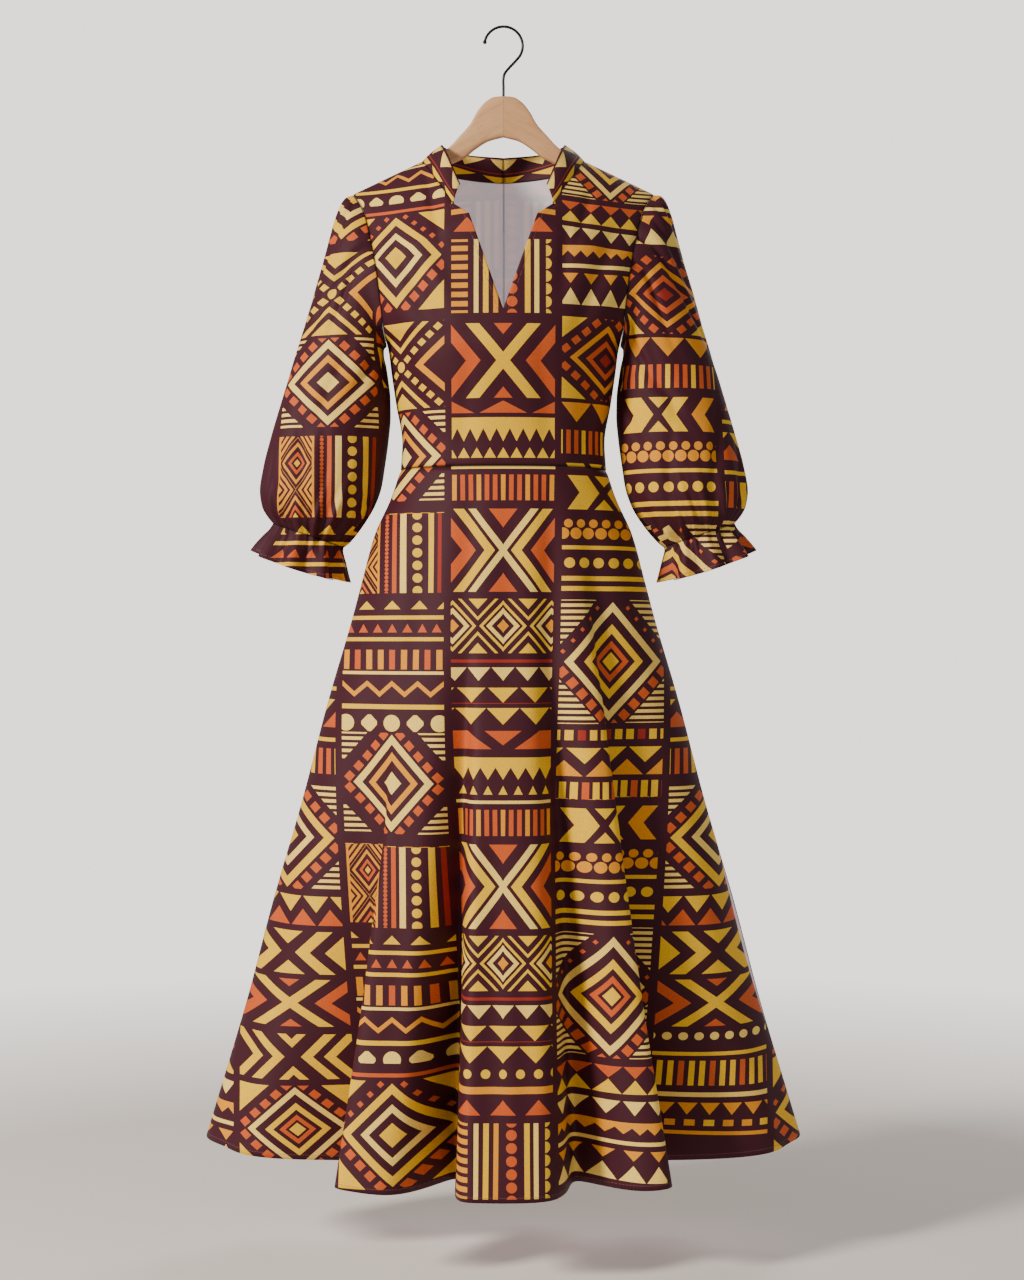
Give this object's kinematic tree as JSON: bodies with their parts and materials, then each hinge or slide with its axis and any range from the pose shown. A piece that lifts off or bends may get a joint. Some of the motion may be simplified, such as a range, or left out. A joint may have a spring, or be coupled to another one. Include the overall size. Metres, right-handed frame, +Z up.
{
  "type": "puff sleeve dress on a wooden hanger",
  "caption": "Long flared dress with a V neck, notched stand collar, gathered puff sleeves with flounced cuffs and a fitted waist, hanging on a wooden hanger with a wire hook.",
  "frame": {"origin": "the point under the top of the hanger's wire hook where a rail or nail carries it", "axes": "+Z up, the front of the dress faces -Y, +X to the right seen from the front"},
  "size_m": [0.772, 0.4116, 1.4768],
  "materials": {
    "printed_cloth": "printed cotton sateen, soft sheen",
    "hanger_wood": "satin clear-lacquered beech",
    "hook_wire": "black lacquered wire"
  },
  "bodies": {
    "root": {"bodice_front": "printed_cloth", "bodice_back_left": "printed_cloth", "bodice_back_right": "printed_cloth", "collar_left": "printed_cloth", "collar_right": "printed_cloth", "sleeve_left": "printed_cloth", "sleeve_right": "printed_cloth", "flounce_left": "printed_cloth", "flounce_right": "printed_cloth", "skirt_front": "printed_cloth", "skirt_back": "printed_cloth", "hanger_bar": "hanger_wood", "hanger_hook": "hook_wire"}
  },
  "joints": []
}
